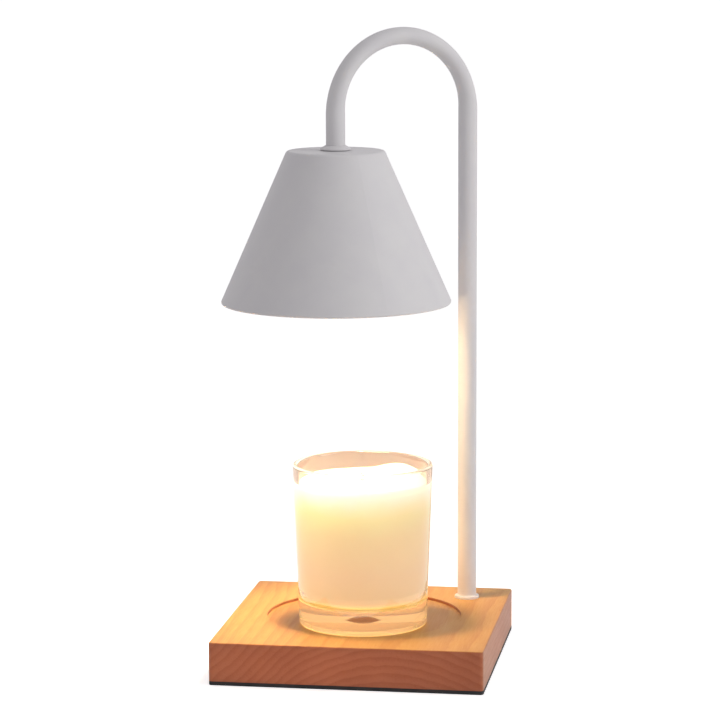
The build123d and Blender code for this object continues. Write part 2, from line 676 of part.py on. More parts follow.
with BuildPart() as cord_clamp:
    clamp_face = section(CORD_X, CLAMP_Y + CLAMP_DEPTH, (1, 0, 0))
    with BuildSketch(clamp_face) as saddle:
        with Locations((0, CEILING)):
            Rectangle(CLAMP_WIDTH, CLAMP_T, align=(Align.CENTER, Align.MAX))
            Rectangle(
                CLAMP_WAY + 2 * CLAMP_T, CLAMP_WAY + CLAMP_T, align=(Align.CENTER, Align.MAX)
            )
            Rectangle(CLAMP_WAY, CLAMP_WAY, align=(Align.CENTER, Align.MAX), mode=Mode.SUBTRACT)
        fillet(saddle.vertices().group_by(Axis.Y)[0], CLAMP_T)
    extrude(amount=CLAMP_DEPTH)
    drill(clamp_middle, clamp_screw_places, WOOD_SCREW_R + LOOSE_GAP, -CLAMP_T)
save(cord_clamp, "cord_clamp")

cord_clamp_screws = screws(
    clamp_middle.offset(-CLAMP_T),
    clamp_screw_places,
    WOOD_SCREW_R,
    CLAMP_T + WOOD_SCREW_REACH,
    WOOD_SCREW_HEAD_R - LOOSE_GAP,
    WOOD_SCREW_HEAD_T,
)
save(cord_clamp_screws, "cord_clamp_screws")

# ---- Wiring in the arm ----
with BuildPart() as lead_sleeve:
    with BuildSketch(post_level(LEAD_SPLIT)):
        Circle(SLEEVE_R)
        Circle(SLEEVE_R - SLEEVE_WALL, mode=Mode.SUBTRACT)
    sweep(path=arm_run(ARM_SECTION, LEAD_SPLIT, HEAD_SPLIT - SLEEVE_TAIL))
save(lead_sleeve, "lead_sleeve")

with BuildPart() as arm_leads:
    for side in (-1, 1):
        with BuildSketch(post_level(LEAD_SPLIT)):
            with Locations((0, side * LEAD_OFFSET)):
                Circle(LEAD_R)
        sweep(path=arm_run(ARM_SECTION.offset(-side * LEAD_OFFSET), LEAD_SPLIT, HEAD_SPLIT))
save(arm_leads, "arm_leads")

# ---- Shade ----
slope = (SHADE_BOTTOM_R - SHADE_TOP_R) / SHADE_HEIGHT
stretch = sqrt(1 + slope**2)
hem_x = SHADE_BOTTOM_R - HEM_R * (slope + stretch)
hem_z = SHADE_BOTTOM + HEM_R
hem_inner_r = HEM_R - SHADE_WALL
shade_hole_r = NIPPLE_R + LOOSE_GAP
with BuildPart() as shade:
    with BuildSketch(HEAD_SECTION) as wall:
        with BuildLine():
            Polyline(
                (shade_hole_r, SHADE_TOP),
                (SHADE_TOP_R, SHADE_TOP),
                (hem_x + HEM_R / stretch, hem_z + HEM_R * slope / stretch),
                (hem_x + hem_inner_r / stretch, hem_z + hem_inner_r * slope / stretch),
                (SHADE_TOP_R + SHADE_WALL * (slope - stretch), SHADE_TOP - SHADE_WALL),
                (shade_hole_r, SHADE_TOP - SHADE_WALL),
                close=True,
            )
        make_face()
        inner_shoulder = wall.vertices().group_by(Axis.Y)[-2].sort_by(Axis.X)[-1]
        fillet(inner_shoulder, SHADE_SHOULDER_R - SHADE_WALL)
        outer_shoulder = wall.vertices().group_by(Axis.Y)[-1].sort_by(Axis.X)[-1]
        fillet(outer_shoulder, SHADE_SHOULDER_R)
        with Locations((hem_x, hem_z)):
            Circle(HEM_R)
    revolve(axis=HEAD_AXIS)
save(shade, "shade")

# ---- Head fixings ----
head_nipple = ring(
    head_level(HEAD_NIPPLE_BOTTOM), NIPPLE_R, NIPPLE_BORE_R, SHADE_TOP + NIPPLE_GRIP - HEAD_NIPPLE_BOTTOM
)
save(head_nipple, "head_nipple")

holder_screw_places = [(-HOLDER_SCREW_X, 0), (HOLDER_SCREW_X, 0)]
with BuildPart() as holder_bracket:
    with BuildSketch(HEAD_SECTION):
        with Locations((0, BRACKET_TOP)):
            Rectangle(
                2 * (BRACKET_LEG_X + BRACKET_T), BRACKET_T, align=(Align.CENTER, Align.MAX)
            )
        for side, near in ((-1, Align.MAX), (1, Align.MIN)):
            with Locations((side * BRACKET_LEG_X, HOLDER_TOP)):
                Rectangle(BRACKET_T, BRACKET_TOP - HOLDER_TOP, align=(near, Align.MIN))
                Rectangle(BRACKET_FOOT_X - BRACKET_LEG_X, BRACKET_T, align=(near, Align.MIN))
    extrude(amount=BRACKET_WIDTH / 2, both=True)
    drill(head_level(BRACKET_TOP), [(0, 0)], NIPPLE_R + LOOSE_GAP, -BRACKET_T)
    drill(head_level(HOLDER_TOP), holder_screw_places, WOOD_SCREW_R + FIT_GAP, BRACKET_T)
save(holder_bracket, "holder_bracket")

head_lock_washer = split_ring(
    head_level(HEAD_NUT_TOP),
    NIPPLE_R + HEAD_WASHER_RIM,
    NIPPLE_R + LOOSE_GAP,
    HEAD_WASHER_T,
    SPRING_WASHER_SPLIT,
)
save(head_lock_washer, "head_lock_washer")

head_nut = hex_nut(head_level(HEAD_NUT_TOP), HEAD_NUT_T)
save(head_nut, "head_nut")

# ---- Lampholder ----
pin_places = [(-PIN_PITCH / 2, 0), (PIN_PITCH / 2, 0)]


def bayonet_slots(plane, radius, height):
    """Cut the two curved ways along which the bulb's pins turn from locked to released."""
    with BuildSketch(plane) as ways:
        for start in (0, 180):
            way = Edge.make_circle(PIN_PITCH / 2, start_angle=start - UNLOCK_ANGLE, end_angle=start)
            SlotArc(way, 2 * radius)
    extrude(ways.sketch, amount=height, mode=Mode.SUBTRACT)


with BuildPart() as lampholder:
    with BuildSketch(head_level(HOLDER_FACE)):
        RectangleRounded(2 * (HOLDER_SCREW_X + HOLDER_END), HOLDER_WIDTH, HOLDER_CORNER_R)
    extrude(amount=HOLDER_HEIGHT)
    fillet(lampholder.edges().group_by(Axis.Z)[0], HOLDER_EDGE_R)
    fillet(lampholder.edges().group_by(Axis.Z)[-1], HOLDER_EDGE_R)
    bayonet_slots(head_level(HOLDER_FACE), PIN_SHANK_R + TRAVEL_GAP, HOLDER_PLATE_T)
    bayonet_slots(head_level(CHAMBER_FLOOR), PIN_HEAD_R + TRAVEL_GAP, HEAD_CHAMBER)
    with BuildSketch(head_level(HOLDER_FACE)):
        with PolarLocations(PIN_PITCH / 2, 2, start_angle=-UNLOCK_ANGLE):
            Circle(PIN_HEAD_R + TRAVEL_GAP)
    extrude(amount=HOLDER_PLATE_T, mode=Mode.SUBTRACT)
    drill(head_level(CHAMBER_FLOOR), pin_places, STEM_R + FIT_GAP, HOLDER_TOP - CHAMBER_FLOOR)
    drill(head_level(HOLDER_FACE), holder_screw_places, WOOD_SCREW_R + LOOSE_GAP, HOLDER_HEIGHT)
    drill(
        head_level(HOLDER_FACE), holder_screw_places, WOOD_SCREW_HEAD_R + LOOSE_GAP, HOLDER_SCREW_SINK
    )
save(lampholder, "lampholder")

holder_screws = screws(
    head_level(HOLDER_FACE + HOLDER_SCREW_SINK),
    holder_screw_places,
    WOOD_SCREW_R,
    HOLDER_HEIGHT - HOLDER_SCREW_SINK + BRACKET_T + NIPPLE_TAIL,
    WOOD_SCREW_HEAD_R,
    WOOD_SCREW_HEAD_T,
)
save(holder_screws, "holder_screws")

contact_bottom = PIN_HEAD_TOP + TRAVEL_GAP
with BuildPart() as holder_contacts:
    with BuildSketch(head_level(contact_bottom)):
        with Locations(*pin_places):
            Circle(CONTACT_R)
    extrude(amount=CONTACT_T)
    with BuildSketch(head_level(contact_bottom)):
        with Locations(*pin_places):
            Circle(STEM_R)
    extrude(amount=STEM_TOP - contact_bottom)
save(holder_contacts, "holder_contacts")


def at_head(across, height):
    """A point beside the head's axis, on the line through the bulb's two pins."""
    return (HEAD_X + across * SIDE_DIR[0], HEAD_Y + across * SIDE_DIR[1], height)


with BuildPart() as holder_leads:
    for side in (-1, 1):
        lead(
            [
                at_head(side * PIN_PITCH / 2, STEM_TOP),
                at_head(side * PIN_PITCH / 2, STEM_TOP + HOLDER_LEAD_RISE),
                at_head(side * LEAD_OFFSET, STEM_TOP + HOLDER_LEAD_BEND),
                at_head(side * LEAD_OFFSET, HEAD_SPLIT),
            ]
        )
save(holder_leads, "holder_leads")

# ---- Bulb ----
with BuildPart() as bulb_base:
    with BuildSketch(head_level(CAP_TOP)):
        RectangleRounded(CAP_LENGTH, CAP_WIDTH, CAP_CORNER_R)
    extrude(amount=-CAP_HEIGHT)
    with BuildSketch(head_level(SOCKET_TOP)):
        Circle(SOCKET_R)
    extrude(amount=-SOCKET_HEIGHT)
    drill(head_level(SOCKET_BOTTOM), [(0, 0)], NECK_R + FIT_GAP, NECK_DEPTH)
    drill(head_level(CAP_TOP), pin_places, PIN_SHANK_R + FIT_GAP, -PIN_ROOT)
save(bulb_base, "bulb_base")

with BuildPart() as bulb_pins:
    with BuildSketch(head_level(CAP_TOP - PIN_ROOT)):
        with Locations(*pin_places):
            Circle(PIN_SHANK_R)
    extrude(amount=PIN_HEAD_BOTTOM - CAP_TOP + PIN_ROOT)
    with BuildSketch(head_level(PIN_HEAD_BOTTOM)):
        with Locations(*pin_places):
            Circle(PIN_HEAD_R)
    extrude(amount=PIN_HEAD_T)
save(bulb_pins, "bulb_pins")


def bowl_bulge(radius_out, height_low, radius_in, height_high):
    """A point on the bowl's curve, between its rim and its neck."""
    across = radius_in + (radius_out - radius_in) * BOWL_BULGE
    return (across, height_low + (height_high - height_low) * BOWL_BULGE)


bowl_r = BULB_R - BOWL_SHOULDER
lens_r = bowl_r - REFLECTOR_WALL
throat_r = NECK_R - REFLECTOR_WALL
with BuildPart() as bulb_reflector:
    with BuildSketch(HEAD_SECTION):
        with BuildLine():
            Line((throat_r, NECK_TOP), (NECK_R, NECK_TOP))
            Line((NECK_R, NECK_TOP), (NECK_R, SOCKET_BOTTOM))
            ThreePointArc(
                (NECK_R, SOCKET_BOTTOM), bowl_bulge(bowl_r, RIM_TOP, NECK_R, SOCKET_BOTTOM), (bowl_r, RIM_TOP)
            )
            Line((bowl_r, RIM_TOP), (BULB_R, RIM_TOP))
            Line((BULB_R, RIM_TOP), (BULB_R, BULB_FRONT))
            Line((BULB_R, BULB_FRONT), (lens_r, BULB_FRONT))
            Line((lens_r, BULB_FRONT), (lens_r, RIM_TOP))
            inner_top = SOCKET_BOTTOM - REFLECTOR_WALL / 2
            ThreePointArc(
                (lens_r, RIM_TOP), bowl_bulge(lens_r, RIM_TOP, throat_r, inner_top), (throat_r, inner_top)
            )
            Line((throat_r, inner_top), (throat_r, NECK_TOP))
        make_face()
    revolve(axis=HEAD_AXIS)
save(bulb_reflector, "bulb_reflector")

with BuildPart() as bulb_lens:
    with BuildSketch(head_level(BULB_FRONT)):
        Circle(lens_r - FIT_GAP)
    extrude(amount=LENS_T)
save(bulb_lens, "bulb_lens")

capsule_top = NECK_TOP - PINCH_LENGTH
capsule_bottom = capsule_top - CAPSULE_LENGTH
with BuildPart() as capsule_void:
    with BuildSketch(head_level(capsule_bottom + CAPSULE_WALL)):
        Circle(CAPSULE_R - CAPSULE_WALL)
    extrude(amount=CAPSULE_LENGTH - 2 * CAPSULE_WALL)
    fillet(capsule_void.edges().group_by(Axis.Z)[0], CAPSULE_R - 2 * CAPSULE_WALL)

with BuildPart() as bulb_capsule:
    with BuildSketch(head_level(capsule_bottom)):
        Circle(CAPSULE_R)
    extrude(amount=CAPSULE_LENGTH)
    fillet(bulb_capsule.edges().group_by(Axis.Z)[0], CAPSULE_R - CAPSULE_WALL)
    add(capsule_void.part, mode=Mode.SUBTRACT)
    with BuildSketch(head_level(capsule_top)):
        Rectangle(2 * CAPSULE_R, PINCH_WIDTH)
    extrude(amount=PINCH_LENGTH)
save(bulb_capsule, "bulb_capsule")

filament_z = capsule_top - FILAMENT_DROP
with BuildPart() as bulb_filament:
    with BuildSketch(Plane(origin=(HEAD_X, HEAD_Y, filament_z), x_dir=UP, z_dir=SIDE_DIR)):
        Circle(FILAMENT_R)
    extrude(amount=FILAMENT_LENGTH / 2, both=True)
    leg_x = FILAMENT_LENGTH / 2 - FILAMENT_LEG_R
    with BuildSketch(head_level(filament_z)):
        with Locations((-leg_x, 0), (leg_x, 0)):
            Circle(FILAMENT_LEG_R)
    extrude(amount=FILAMENT_DROP - CAPSULE_WALL)
save(bulb_filament, "bulb_filament")

# ---- Candle ----
lean = (JAR_RIM_R - JAR_BASE_R) / JAR_HEIGHT


def bore_radius(height):
    """Inner radius of the tumbler at a height."""
    return JAR_BASE_R + lean * (height - RECESS_FLOOR) - JAR_WALL


with BuildPart() as candle_glass:
    with BuildSketch(CANDLE_SECTION) as tumbler:
        crown = (DIMPLE_R, RECESS_FLOOR + JAR_CROWN)
        vault_foot = (JAR_FOOT_R - JAR_KICK / 2, RECESS_FLOOR + JAR_KICK)
        dimple_top = (0, crown[1] + DIMPLE_DEPTH)
        vault_middle = (
            (crown[0] + vault_foot[0]) / 2,
            (crown[1] + vault_foot[1]) / 2 + CROWN_BULGE,
        )
        with BuildLine():
            TangentArc(dimple_top, crown, tangent=(1, 0))
            ThreePointArc(crown, vault_middle, vault_foot)
            Polyline(
                vault_foot,
                (JAR_FOOT_R, RECESS_FLOOR),
                (JAR_BASE_R, RECESS_FLOOR),
                (JAR_RIM_R, JAR_RIM),
                (bore_radius(JAR_RIM), JAR_RIM),
                (bore_radius(JAR_FLOOR), JAR_FLOOR),
                (0, JAR_FLOOR),
                dimple_top,
            )
        make_face()
        fillet(tumbler.vertices().group_by(Axis.Y)[0].sort_by(Axis.X)[-1], JAR_HEEL_R)
        floor_band = (JAR_FLOOR - WAX_GAP, JAR_FLOOR + WAX_GAP)
        at_floor = tumbler.vertices().filter_by_position(Axis.Y, *floor_band)
        fillet(at_floor.sort_by(Axis.X)[-1], JAR_INNER_R)
        fillet(tumbler.vertices().group_by(Axis.Y)[-1], JAR_WALL / 2 - FIT_GAP)
    revolve(axis=CANDLE_AXIS)
save(candle_glass, "candle_glass")

wax_floor = JAR_FLOOR + WAX_GAP
with BuildPart() as candle_wax:
    with BuildSketch(CANDLE_SECTION) as fill:
        with BuildLine():
            Polyline(
                (0, wax_floor),
                (bore_radius(wax_floor) - WAX_GAP, wax_floor),
                (bore_radius(WAX_TOP) - WAX_GAP, WAX_TOP),
                (0, WAX_TOP),
                close=True,
            )
        make_face()
        fillet(fill.vertices().group_by(Axis.Y)[0].sort_by(Axis.X)[-1], JAR_INNER_R)
    revolve(axis=CANDLE_AXIS)
    drill(candle_level(wax_floor), [(0, 0)], WICK_TAB_R, WICK_TAB_T)
    drill(candle_level(wax_floor), [(0, 0)], WICK_NECK_R, WICK_TAB_T + WICK_NECK_H)
    drill(candle_level(wax_floor), [(0, 0)], WICK_R, WAX_TOP - wax_floor)
save(candle_wax, "candle_wax")

with BuildPart() as wick_tab:
    with BuildSketch(candle_level(wax_floor)):
        Circle(WICK_TAB_R)
    extrude(amount=WICK_TAB_T)
    with BuildSketch(candle_level(wax_floor + WICK_TAB_T)):
        Circle(WICK_NECK_R)
    extrude(amount=WICK_NECK_H)
    drill(candle_level(wax_floor + WICK_TAB_T), [(0, 0)], WICK_R, WICK_NECK_H)
save(wick_tab, "wick_tab")

with BuildPart() as candle_wick:
    with BuildSketch(candle_level(wax_floor + WICK_TAB_T)):
        Circle(WICK_R)
    extrude(amount=WAX_TOP + WICK_TAIL - wax_floor - WICK_TAB_T)
save(candle_wick, "candle_wick")
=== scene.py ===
"""The looks of a candle warmer lamp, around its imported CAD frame.

Metres, in the frame's axes: +X runs along the base's front edge to the right, +Y to the back, +Z up.
"""

import json
from math import cos, exp, pi, radians, sin

import bpy
from mathutils import Matrix, Vector, noise


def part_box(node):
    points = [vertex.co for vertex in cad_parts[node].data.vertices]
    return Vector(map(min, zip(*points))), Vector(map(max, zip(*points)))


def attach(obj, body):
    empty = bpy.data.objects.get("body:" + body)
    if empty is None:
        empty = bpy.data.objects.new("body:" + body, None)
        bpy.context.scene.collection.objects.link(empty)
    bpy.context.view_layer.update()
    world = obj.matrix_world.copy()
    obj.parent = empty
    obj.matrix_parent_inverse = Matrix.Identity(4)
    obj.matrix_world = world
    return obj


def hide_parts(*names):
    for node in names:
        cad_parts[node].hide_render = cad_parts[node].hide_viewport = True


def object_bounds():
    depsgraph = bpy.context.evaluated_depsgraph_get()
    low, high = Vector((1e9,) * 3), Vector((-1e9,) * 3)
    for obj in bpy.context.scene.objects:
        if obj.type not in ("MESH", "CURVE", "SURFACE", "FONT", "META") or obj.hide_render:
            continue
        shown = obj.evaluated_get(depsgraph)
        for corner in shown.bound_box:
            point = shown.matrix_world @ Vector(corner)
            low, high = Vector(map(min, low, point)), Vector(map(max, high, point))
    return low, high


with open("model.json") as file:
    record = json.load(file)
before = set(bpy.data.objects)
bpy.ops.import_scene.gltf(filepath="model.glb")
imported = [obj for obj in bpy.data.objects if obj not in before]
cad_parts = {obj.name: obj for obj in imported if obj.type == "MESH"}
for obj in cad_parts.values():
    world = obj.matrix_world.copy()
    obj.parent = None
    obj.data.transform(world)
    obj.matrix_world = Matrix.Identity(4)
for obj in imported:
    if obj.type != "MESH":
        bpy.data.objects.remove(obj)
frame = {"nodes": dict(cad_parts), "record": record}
cad_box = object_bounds()
scene = bpy.context.scene
MM = 0.001

# ---- Camera ----
CAMERA_PLACE = (0.23135, -1.51390, 0.39715)
CAMERA_YAW = radians(8.779)  # turned left of straight along +Y
CAMERA_PITCH = radians(8.904)  # looks down
CAMERA_ROLL = radians(-0.208)
CAMERA_LENS = 149.72  # millimetres, on a 36 mm square sensor
CAMERA_SENSOR = 36.0
CAMERA_NEAR = 0.05  # the nearest distance that it shows


def make_camera():
    """The camera at the photograph's place and angle."""
    forward = Vector(
        (
            -sin(CAMERA_YAW) * cos(CAMERA_PITCH),
            cos(CAMERA_YAW) * cos(CAMERA_PITCH),
            -sin(CAMERA_PITCH),
        )
    )
    level = Vector((cos(CAMERA_YAW), sin(CAMERA_YAW), 0))
    upright = level.cross(forward)
    right = level * cos(CAMERA_ROLL) + upright * sin(CAMERA_ROLL)
    up = upright * cos(CAMERA_ROLL) - level * sin(CAMERA_ROLL)
    camera = bpy.data.objects.new("camera", bpy.data.cameras.new("camera"))
    scene.collection.objects.link(camera)
    placed = Matrix((right, up, -forward)).transposed().to_4x4()
    placed.translation = CAMERA_PLACE
    camera.matrix_world = placed
    camera.data.lens = CAMERA_LENS
    camera.data.sensor_width = CAMERA_SENSOR
    camera.data.clip_start = CAMERA_NEAR
    scene.camera = camera


make_camera()


# ---- Node trees ----
NOISE_SPAN = (0.3, 0.7)  # where most values of a noise lie


class Tree:
    """A node tree, built call by call."""

    def __init__(self, tree):
        self.tree = tree

    def node(self, kind, inputs=None, **settings):
        """Add a node. inputs maps a socket's name or number to a value or to another node's output."""
        made = self.tree.nodes.new("ShaderNode" + kind)
        for key, value in settings.items():
            setattr(made, key, value)
        for key, value in (inputs or {}).items():
            self.feed(made.inputs[key], value)
        return made

    def feed(self, socket, value):
        """Link an output to a socket, or set the socket's own value."""
        if isinstance(value, bpy.types.NodeSocket):
            self.tree.links.new(value, socket)
        else:
            socket.default_value = value

    def math(self, operation, *values):
        """The output of one sum or function of numbers."""
        return self.node("Math", dict(enumerate(values)), operation=operation).outputs[0]

    def distance(self, first, second):
        """The distance between two points."""
        made = self.node("VectorMath", {0: first, 1: second}, operation="DISTANCE")
        return made.outputs["Value"]

    def axes(self, vector):
        """A vector's x, y and z."""
        return self.node("SeparateXYZ", {0: vector}).outputs

    def spread(self, value, low, high, to_low=0.0, to_high=1.0):
        """Map a value's range onto another, clamped."""
        inputs = {"Value": value, "From Min": low, "From Max": high, "To Min": to_low, "To Max": to_high}
        return self.node("MapRange", inputs).outputs[0]

    def fade(self, value, low, high):
        """1 below a range of values and 0 above it."""
        return self.spread(value, low, high, 1.0, 0.0)

    def mix(self, share, first, second):
        """Blend two colours, given as values or outputs."""
        colours = [(*c, 1) if isinstance(c, tuple) and len(c) == 3 else c for c in (first, second)]
        mixer = self.node("Mix", {0: share, 6: colours[0], 7: colours[1]}, data_type="RGBA")
        return mixer.outputs[2]


class Shader(Tree):
    """One material's node tree. Its coordinates are those of the frame at rest, in metres."""

    def __init__(self, name):
        self.material = bpy.data.materials.new(name)
        self.material.use_nodes = True
        super().__init__(self.material.node_tree)
        self.surface = self.tree.nodes["Principled BSDF"]
        coordinates = self.tree.nodes.new("ShaderNodeTexCoord")
        self.place = coordinates.outputs["Object"]
        self.facing = coordinates.outputs["Normal"]

    def set(self, **values):
        """Set the Principled shader's sockets, named with underscores for spaces."""
        for key, value in values.items():
            if isinstance(value, tuple) and len(value) == 3 and key.endswith("Color"):
                value = (*value, 1)
            self.feed(self.surface.inputs[key.replace("_", " ")], value)

    def noise(self, size, detail=3.0, rough=0.5, stretch=(1, 1, 1)):
        """Noise with features of about one size, in metres, longer along a stretched axis."""
        scale = tuple(1 / (size * along) for along in stretch)
        mapped = self.node("Mapping", {"Vector": self.place, "Scale": scale})
        inputs = {"Vector": mapped.outputs[0], "Scale": 1.0, "Detail": detail, "Roughness": rough}
        return self.node("TexNoise", inputs).outputs["Fac"]

    def bump(self, height, depth):
        """Bump the surface by a height between 0 and 1 times a depth in metres."""
        self.set(Normal=self.node("Bump", {"Height": height, "Distance": depth}).outputs[0])


# ---- Powder coat ----
COAT_TONES = (0.735, 0.720, 0.735), (0.760, 0.748, 0.752)
COAT_CLOUD = {"size": 14 * MM, "detail": 2.0}
COAT_PEEL = {"size": 0.5 * MM, "detail": 2.0}
COAT_DEPTH = 0.012 * MM
COAT_ROUGHNESS = (0.50, 0.60)
MATT_SPECULAR = 0.35


def powder_coat():
    """Matte white powder coat with its fine orange peel."""
    coat = Shader("white_powder_coat")
    peel = coat.noise(**COAT_PEEL)
    tone = coat.spread(coat.noise(**COAT_CLOUD), *NOISE_SPAN)
    coat.set(
        Base_Color=coat.mix(tone, *COAT_TONES),
        Roughness=coat.spread(peel, *NOISE_SPAN, *COAT_ROUGHNESS),
        Specular_IOR_Level=MATT_SPECULAR,
    )
    coat.bump(peel, COAT_DEPTH)
    return coat.material


# ---- Wood ----
RING_CENTRE = (0.026, -0.066)  # x and height of the growth rings' centre, below the board
RING_SPACING = 4.2 * MM
RING_SWAY = 26 * MM  # how far the rings drift to a side
RING_WANDER = 0.7  # how far they waver, of their spacing
LATE_START = (0.30, 0.88)  # shares of a ring between which its dark late wood sets in
LATE_END = (1.0, 0.90)  # and between which it ends
SWAY_GRAIN = {"size": 70 * MM, "detail": 2.0, "stretch": (1, 2.5, 1)}
WANDER_GRAIN = {"size": 9 * MM, "stretch": (1, 6, 1)}
FIBRE_GRAIN = {"size": 0.55 * MM, "detail": 4.0, "rough": 0.6, "stretch": (1, 30, 1)}
FLECK_GRAIN = {"size": 1.1 * MM, "detail": 2.0, "stretch": (1, 5, 1)}
MOTTLE_GRAIN = {"size": 22 * MM, "stretch": (1, 2, 1)}
FLECK_SPAN = (0.60, 0.72)  # noise between which the flecks set in
LATE_DARK = 0.42  # how much of the dark tone late wood adds
FLECK_DARK = 0.22  # and flecks
FIBRE_DARK = (0.25, 0.75, 0.0, 0.30)  # and fibres: a range of noise and what it adds
MOTTLE_DARK = (*NOISE_SPAN, -0.10, 0.22)  # and the mottle
TOP_LIT_TONES = (0.580, 0.325, 0.098), (0.460, 0.208, 0.060)  # light and dark, on the board's top, the lit copy of the wood's tones
SIDE_SHADE_TONES = (0.430, 0.190, 0.106), (0.350, 0.134, 0.072)  # on its long-grain edges: the same wood painted darker and paler, as painted shade and sheen
END_GRAIN_AND_SHADE_TONES = (0.430, 0.136, 0.066), (0.310, 0.080, 0.033)  # on its end-grain edges: darker end grain, with the painted shade of the other edges
EDGE_TURN = (0.35, 0.85)  # how far a face has to turn to a side for the edges' tones, with their painted shade
FIBRE_ROUGHNESS = (0.2, 0.8, 0.42, 0.60)
FLECK_DEPTH = 0.8  # of the fibres' depth
WOOD_DEPTH = 0.05 * MM


def ring_phase(wood, x, z):
    """How far through a growth ring a place lies, from 0 to 1. The rings' axis runs along +Y."""
    drift = wood.math("SUBTRACT", wood.noise(**SWAY_GRAIN), 0.5)
    ripple = wood.math("SUBTRACT", wood.noise(**WANDER_GRAIN), 0.5)
    sway = wood.math("MULTIPLY", drift, RING_SWAY)
    across = wood.math("ADD", wood.math("SUBTRACT", x, RING_CENTRE[0]), sway)
    above = wood.math("SUBTRACT", z, RING_CENTRE[1])
    offset = wood.node("CombineXYZ", {0: across, 2: above}).outputs[0]
    radius = wood.node("VectorMath", {0: offset}, operation="LENGTH").outputs["Value"]
    rings = wood.math("DIVIDE", radius, RING_SPACING)
    return wood.math("FRACT", wood.math("ADD", rings, wood.math("MULTIPLY", ripple, RING_WANDER)))


def beech():
    """Oiled beech: growth rings, fibres, short dark flecks, and darker tones on the board's edges, partly
    darker end grain and partly painted shade and sheen.
    """
    wood = Shader("beech")
    x, _, z = wood.axes(wood.place)
    phase = ring_phase(wood, x, z)
    late = wood.math("MULTIPLY", wood.spread(phase, *LATE_START), wood.spread(phase, *LATE_END))
    fibre = wood.noise(**FIBRE_GRAIN)
    flecks = wood.spread(wood.noise(**FLECK_GRAIN), *FLECK_SPAN)
    shade = wood.math("MULTIPLY_ADD", late, LATE_DARK, wood.spread(fibre, *FIBRE_DARK))
    shade = wood.math("MULTIPLY_ADD", flecks, FLECK_DARK, shade)
    shade = wood.math("ADD", shade, wood.spread(wood.noise(**MOTTLE_GRAIN), *MOTTLE_DARK))
    facing = wood.axes(wood.facing)
    tone = wood.mix(shade, *TOP_LIT_TONES)
    # Faces turned to a side get darker tones: painted shade and sheen, and on end grain also its real
    # darkness
    for axis, tones in ((0, SIDE_SHADE_TONES), (1, END_GRAIN_AND_SHADE_TONES)):
        turned = wood.spread(wood.math("ABSOLUTE", facing[axis]), *EDGE_TURN)
        tone = wood.mix(turned, tone, wood.mix(shade, *tones))
    wood.set(
        Base_Color=tone,
        Roughness=wood.spread(fibre, *FIBRE_ROUGHNESS),
        Specular_IOR_Level=MATT_SPECULAR,
    )
    wood.bump(wood.math("SUBTRACT", fibre, wood.math("MULTIPLY", flecks, FLECK_DEPTH)), WOOD_DEPTH)
    return wood.material


# ---- Metals, plastics and thread ----
# Each speckled surface: light tone, dark tone, size of its grain, roughness and depth of its texture.
PLASTICS = {
    "black_foam": ((0.030, 0.032, 0.032), (0.012, 0.012, 0.013), 0.5 * MM, 0.85, 0.15 * MM),
    "nylon": ((0.86, 0.85, 0.80), (0.80, 0.78, 0.73), 0.4 * MM, 0.45, 0.01 * MM),
    "rubber": ((0.045, 0.045, 0.046), (0.025, 0.025, 0.026), 0.3 * MM, 0.60, 0.02 * MM),
    "lead_insulation": ((0.85, 0.82, 0.74), (0.78, 0.75, 0.67), 0.5 * MM, 0.50, 0.01 * MM),
    "ceramic": ((0.88, 0.86, 0.81), (0.80, 0.77, 0.71), 0.35 * MM, 0.70, 0.02 * MM),
}
METALS = {
    "zinc_steel": ((0.66, 0.66, 0.64), (0.54, 0.54, 0.53), 0.6 * MM, 0.32, 0.004 * MM),
    "brass": ((0.80, 0.60, 0.28), (0.68, 0.48, 0.20), 0.6 * MM, 0.30, 0.004 * MM),
    "nickel": ((0.75, 0.73, 0.68), (0.66, 0.64, 0.60), 0.6 * MM, 0.18, 0.004 * MM),
    "tungsten": ((0.42, 0.40, 0.38), (0.30, 0.29, 0.28), 0.2 * MM, 0.40, 0.004 * MM),
    "reflector": ((0.80, 0.80, 0.82), (0.70, 0.70, 0.73), 3.5 * MM, 0.12, 0.25 * MM),
}
BROAD_GRAIN = 18  # how many grains wide the broad mottle is
MOTTLE_SPAN = (0.35, 0.65)
ROUGHNESS_SPAN = (0.85, 1.15)  # of the roughness

# Each braid: light tone, dark tone and pitch.
BRAIDS = {
    "sleeving": ((0.90, 0.88, 0.82), (0.72, 0.70, 0.64), 1.2 * MM),
    "wick": ((0.92, 0.90, 0.84), (0.76, 0.72, 0.62), 1.1 * MM),
}
THREAD_ROUGHNESS = 0.85
THREAD_DEPTH = 0.12 * MM


def speckled(name, light, dark, grain, roughness, depth, metallic=0.0):
    """A moulded, coated or metal surface: two close tones and a fine texture of one grain size."""
    made = Shader(name)
    fine = made.noise(grain)
    broad = made.noise(grain * BROAD_GRAIN, detail=2.0)
    tone = made.math("MULTIPLY_ADD", fine, 0.5, made.math("MULTIPLY", broad, 0.5))
    low, high = (min(1.0, roughness * share) for share in ROUGHNESS_SPAN)
    made.set(
        Base_Color=made.mix(made.spread(tone, *MOTTLE_SPAN), dark, light),
        Roughness=made.spread(fine, *NOISE_SPAN, low, high),
        Metallic=metallic,
    )
    made.bump(fine, depth)
    return made.material


def braid(name, light, dark, pitch):
    """Thread laid in a diagonal braid."""
    made = Shader(name)
    x, y, z = made.axes(made.place)
    sideways = made.math("ADD", x, y)
    strands = []
    for side in (-1, 1):
        lean = made.math("MULTIPLY_ADD", sideways, side, z)
        strands.append(made.math("SINE", made.math("MULTIPLY", lean, 2 * pi / pitch)))
    weave = made.spread(made.math("MULTIPLY", *strands), -1.0, 1.0)
    made.set(Base_Color=made.mix(weave, dark, light), Roughness=THREAD_ROUGHNESS)
    made.bump(weave, THREAD_DEPTH)
    return made.material


